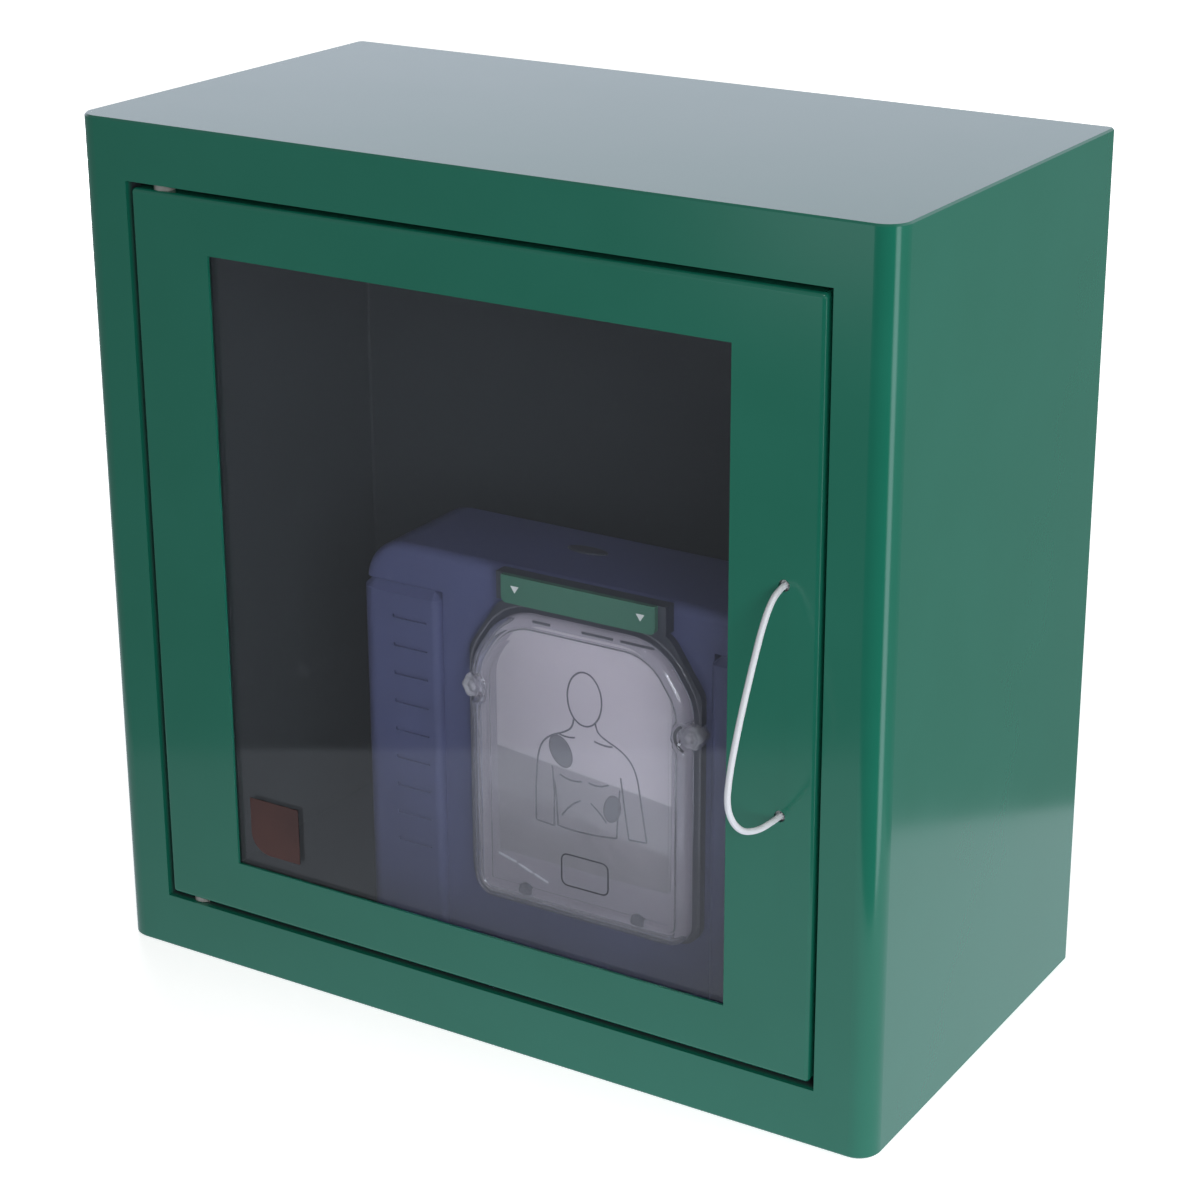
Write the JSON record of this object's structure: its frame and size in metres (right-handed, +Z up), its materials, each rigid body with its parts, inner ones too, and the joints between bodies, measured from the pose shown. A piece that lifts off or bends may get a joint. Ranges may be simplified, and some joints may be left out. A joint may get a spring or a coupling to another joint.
{
  "type": "aed cabinet",
  "caption": "Sheet-steel wall cabinet with a hinged, glazed door and a cord pull, holding a defibrillator with a clip-in pads cartridge.",
  "frame": {"origin": "centre of the cabinet's base", "axes": "+Z up, the door faces -Y, +X to the right seen from the front"},
  "size_m": [0.38, 0.2431, 0.38],
  "materials": {
    "green_powder_coat": "gloss powder coat",
    "clear_acrylic": "polished clear acrylic",
    "zinc_steel": "zinc plated",
    "white_nylon": "moulded nylon",
    "black_rubber": "moulded",
    "white_cord": "braided polyester",
    "label_film": "matt printed film",
    "navy_plastic": "fine moulded texture",
    "grey_plastic": "moulded",
    "clear_cover": "moulded clear plastic",
    "card_print": "printed card",
    "green_plastic": "moulded, white print",
    "orange_plastic": "moulded, translucent",
    "blue_plastic": "moulded, translucent"
  },
  "bodies": {
    "cabinet": {"left_wrap": "green_powder_coat", "right_wrap": "green_powder_coat", "top_rail": "green_powder_coat", "bottom_rail": "green_powder_coat", "top_panel": "green_powder_coat", "bottom_panel": "green_powder_coat", "back_panel": "green_powder_coat", "opening_return_top": "green_powder_coat", "opening_return_bottom": "green_powder_coat", "opening_return_left": "green_powder_coat", "opening_return_right": "green_powder_coat", "stop_lip": "green_powder_coat", "stop_bumpers": "black_rubber", "hinge_pins": "zinc_steel", "catch_housing": "white_nylon", "catch_poles": "zinc_steel", "catch_bracket": "green_powder_coat", "device_front_shell": "navy_plastic", "device_back_shell": "navy_plastic", "grip_column": "navy_plastic", "button_column": "navy_plastic", "power_button": "green_plastic", "info_button": "blue_plastic", "shock_button": "orange_plastic", "cartridge_tray": "grey_plastic", "cartridge_cover": "clear_cover", "pads_card": "card_print", "cartridge_latches": "clear_cover", "pull_tab": "green_plastic", "tab_carrier": "grey_plastic"},
    "door": {"door_panel": "green_powder_coat", "window_pane": "clear_acrylic", "pane_clips": "zinc_steel", "clip_studs": "zinc_steel", "clip_nuts": "zinc_steel", "hinge_bushes": "white_nylon", "strike_plate": "zinc_steel", "handle_cord": "white_cord", "cord_knots": "white_cord", "corner_label": "label_film"}
  },
  "joints": [
    {"name": "door_hinge", "type": "hinge", "parent": "cabinet", "child": "door", "pos_m": [-0.1485, -0.094, 0.19], "axis": [0, 0, -1], "range_deg": [0, 120]}
  ]
}
